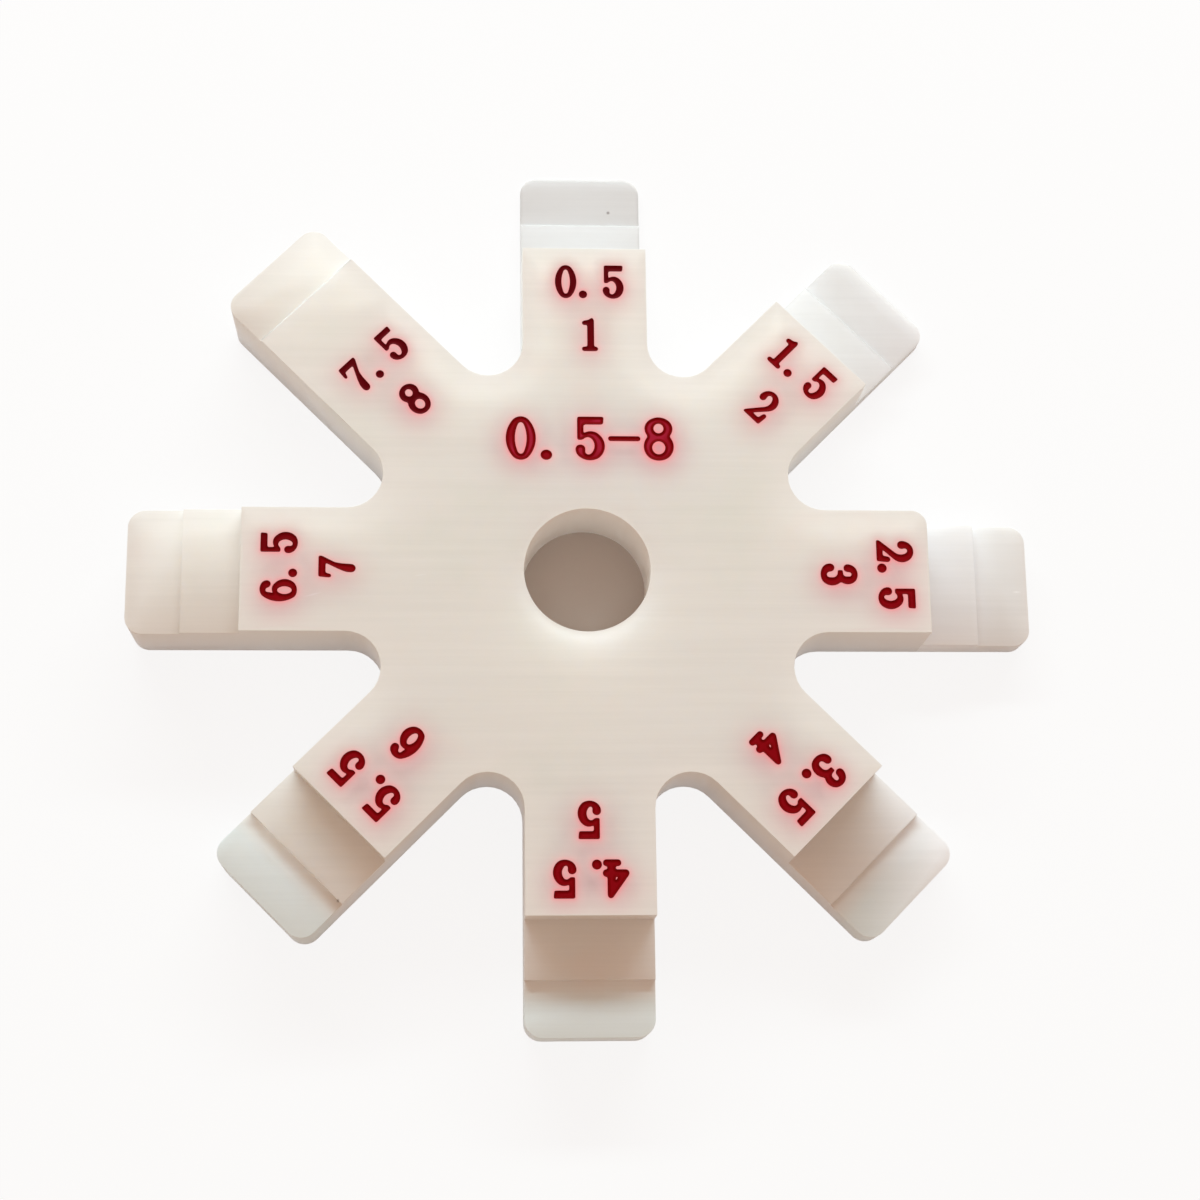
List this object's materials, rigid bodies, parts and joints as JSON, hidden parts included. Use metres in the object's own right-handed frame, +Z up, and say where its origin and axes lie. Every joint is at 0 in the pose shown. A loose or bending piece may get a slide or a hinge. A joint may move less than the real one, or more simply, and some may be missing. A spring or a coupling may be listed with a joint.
{
  "type": "gap and flush gauge",
  "caption": "Flat star-shaped gap and flush gauge: stepped fingers of rising thickness round a plain bore, each tread's size engraved beside it.",
  "frame": {"origin": "centre of the bore, on the flat underside", "axes": "+Z up through the bore towards the engraved face, +Y along the thinnest finger, the one engraved 0.5 and 1"},
  "size_m": [0.0864, 0.0864, 0.008],
  "materials": {
    "white_plastic": "milled nylon or acetal, satin and slightly translucent",
    "red_paint": "enamel wiped into the engraving"
  },
  "bodies": {
    "root": {"gauge_body": "white_plastic", "finger_1_inner_size_paint": "red_paint", "finger_1_outer_size_paint": "red_paint", "finger_2_inner_size_paint": "red_paint", "finger_2_outer_size_paint": "red_paint", "finger_3_inner_size_paint": "red_paint", "finger_3_outer_size_paint": "red_paint", "finger_4_inner_size_paint": "red_paint", "finger_4_outer_size_paint": "red_paint", "finger_5_inner_size_paint": "red_paint", "finger_5_outer_size_paint": "red_paint", "finger_6_inner_size_paint": "red_paint", "finger_6_outer_size_paint": "red_paint", "finger_7_inner_size_paint": "red_paint", "finger_7_outer_size_paint": "red_paint", "finger_8_inner_size_paint": "red_paint", "finger_8_outer_size_paint": "red_paint"}
  },
  "joints": []
}
